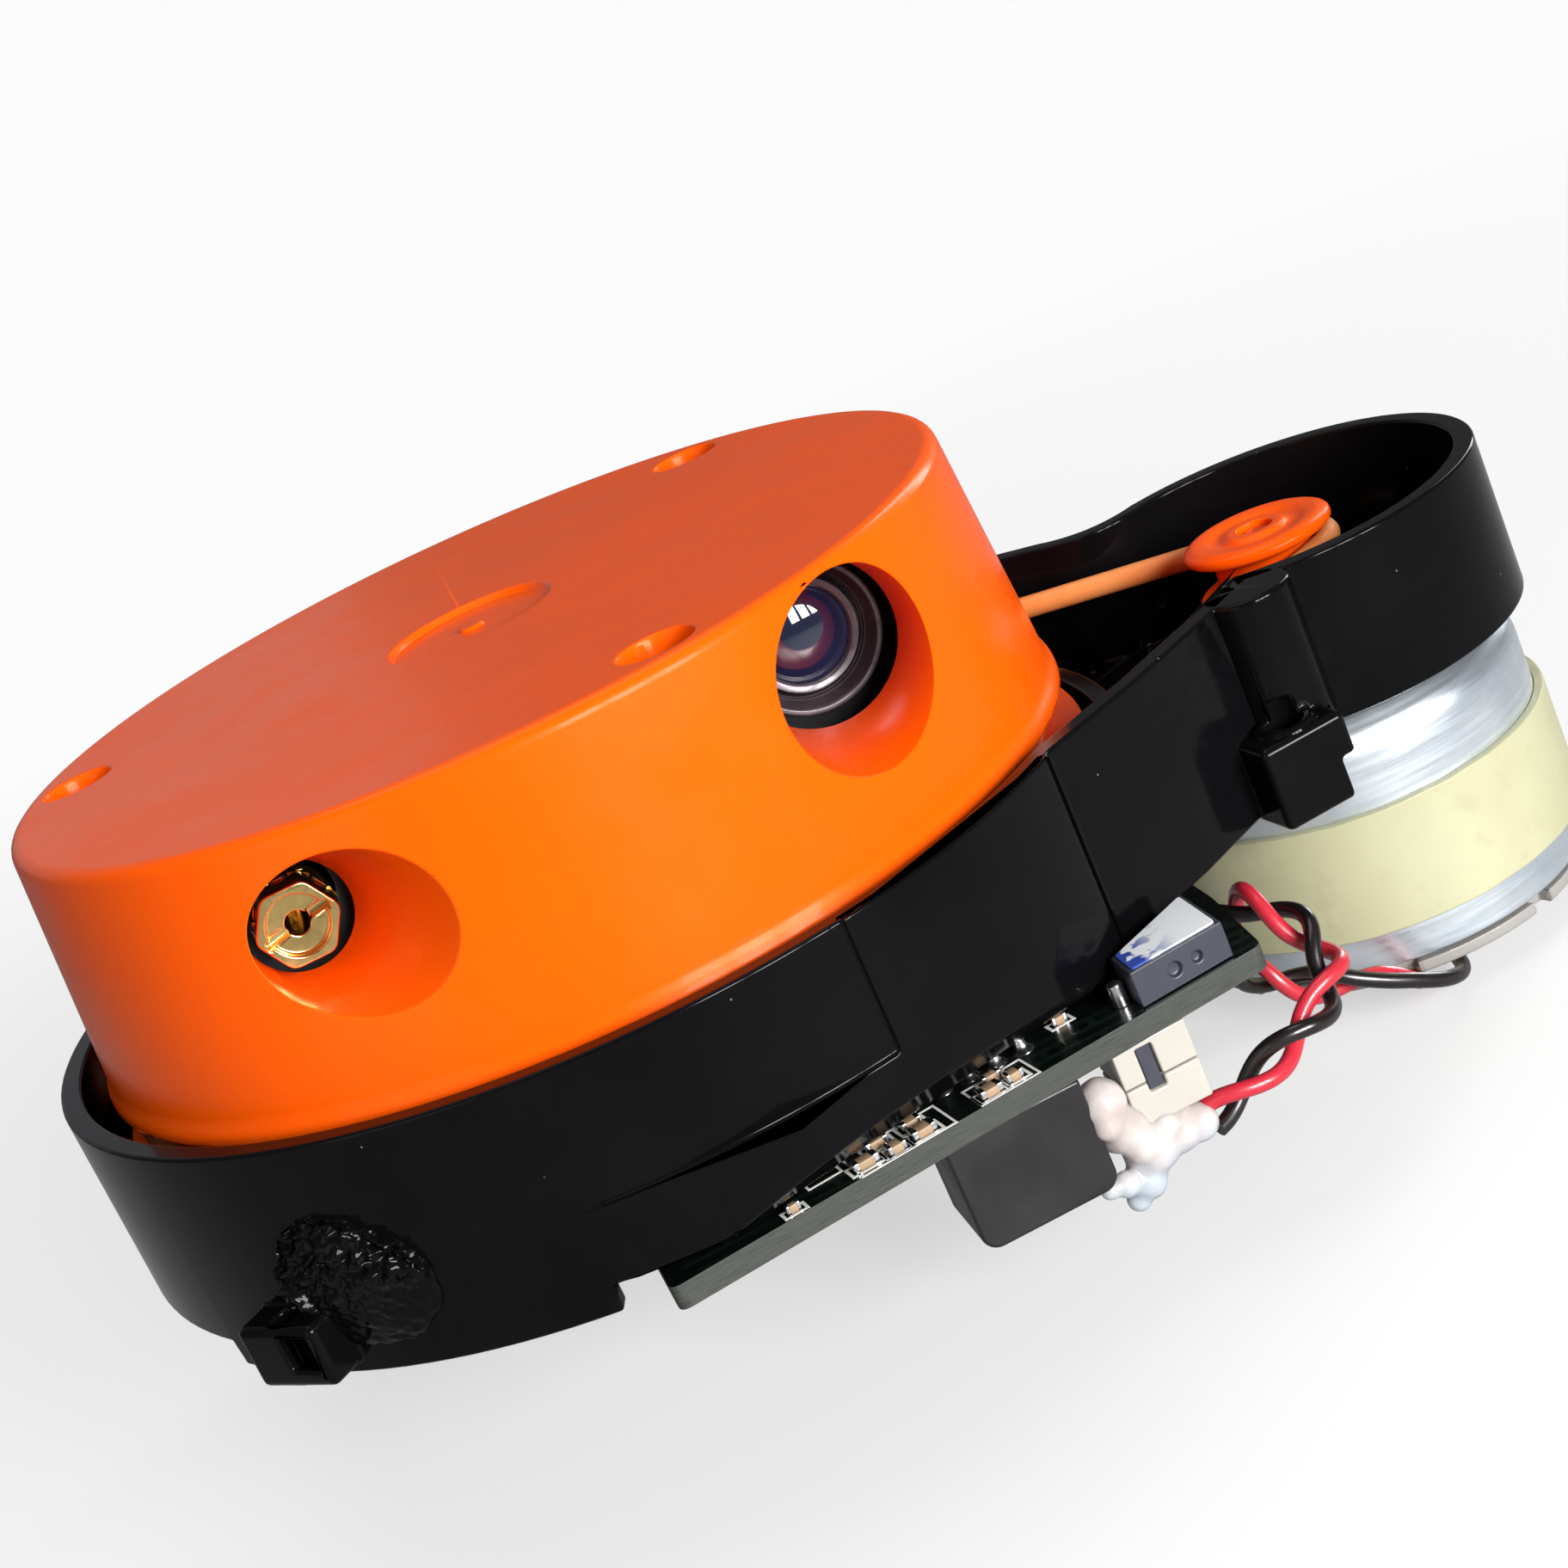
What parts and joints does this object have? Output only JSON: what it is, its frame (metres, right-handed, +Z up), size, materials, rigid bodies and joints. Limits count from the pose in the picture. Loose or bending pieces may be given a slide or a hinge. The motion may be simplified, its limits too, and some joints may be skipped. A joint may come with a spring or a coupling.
{
  "type": "lidar scanner module",
  "caption": "Belt-driven laser rangefinder: an orange turret with laser and lens spins on a bearing in a black base tray, driven by a small motor through a round belt.",
  "frame": {"origin": "on the turret's spin axis, at the flat underside of the hub cover", "axes": "+Z up along the spin axis, +X from the turret towards the motor, -Y the way the laser and the lens look at rest"},
  "size_m": [0.1073, 0.076, 0.0498],
  "materials": {
    "turret_orange": "glossy moulded orange plastic",
    "belt_salmon": "soft elastic belt, light orange",
    "black_gloss": "glossy black moulded plastic",
    "black_matt": "matt black plastic",
    "lens_dark": "dark coated lens glass",
    "brass_bright": "bright gold-plated brass",
    "steel": "bright steel",
    "zinc_can": "zinc-plated drawn steel",
    "copper_winding": "enamelled copper windings on a steel core",
    "cream_wrap": "cream vibration-damping wrap",
    "off_white_cap": "off-white moulded end cap",
    "ivory_plastic": "ivory connector plastic",
    "board_green": "black-green solder mask",
    "module_grey": "grey component body",
    "magnet_grey": "bare ferrite",
    "glue": "translucent hot glue",
    "wire_red": "red wire insulation",
    "wire_black": "black wire insulation"
  },
  "bodies": {
    "base": {"base_shell": "black_gloss", "hub_cover": "black_matt", "index_sensor": "black_matt", "brush_block": "brass_bright", "bearing_outer_ring": "steel", "drive_belt": "belt_salmon", "motor_can": "zinc_can", "motor_wrap": "cream_wrap", "motor_end_cap": "off_white_cap", "motor_screw_1": "steel", "motor_screw_2": "steel", "motor_magnet_left": "magnet_grey", "motor_magnet_right": "magnet_grey", "motor_terminal_1": "brass_bright", "motor_terminal_2": "brass_bright", "main_board": "board_green", "board_screw_1": "steel", "board_screw_2": "steel", "board_module": "module_grey", "processor_chip": "black_matt", "driver_chip": "black_matt", "main_socket": "black_matt", "motor_header": "ivory_plastic", "motor_plug": "ivory_plastic", "glue_blob": "glue", "lead_red": "wire_red", "lead_black": "wire_black"},
    "turret": {"bearing_inner_ring": "steel", "turret_cover": "turret_orange", "rotor_base": "turret_orange", "index_ring": "black_matt", "slip_ring": "brass_bright", "lens_barrel": "black_gloss", "lens_glass": "lens_dark", "lens_holder": "black_matt", "sensor_board": "board_green", "laser_barrel": "brass_bright", "laser_diode": "brass_bright", "laser_holder": "black_matt", "rotor_board": "board_green", "cover_screw_1": "steel", "cover_screw_2": "steel", "cover_screw_3": "steel"},
    "drive_rotor": {"motor_pulley": "turret_orange", "motor_armature": "copper_winding"},
    "ball_cage": {"bearing_ball_cage": "steel"}
  },
  "joints": [
    {"name": "turret_spin", "type": "hinge", "parent": "base", "child": "turret", "pos_m": [0, 0, 0.0091], "axis": [0, 0, 1], "continuous": true},
    {"name": "motor_spin", "type": "hinge", "parent": "base", "child": "drive_rotor", "pos_m": [0.053, 0, 0], "axis": [0, 0, 1], "continuous": true},
    {"name": "bearing_cage_spin", "type": "hinge", "parent": "base", "child": "ball_cage", "pos_m": [0, 0, 0.0091], "axis": [0, 0, 1], "continuous": true}
  ],
  "couplings": [
    {"joint": "motor_spin", "follows": "turret_spin", "ratio": 7.0957},
    {"joint": "bearing_cage_spin", "follows": "turret_spin", "ratio": 0.44924}
  ]
}
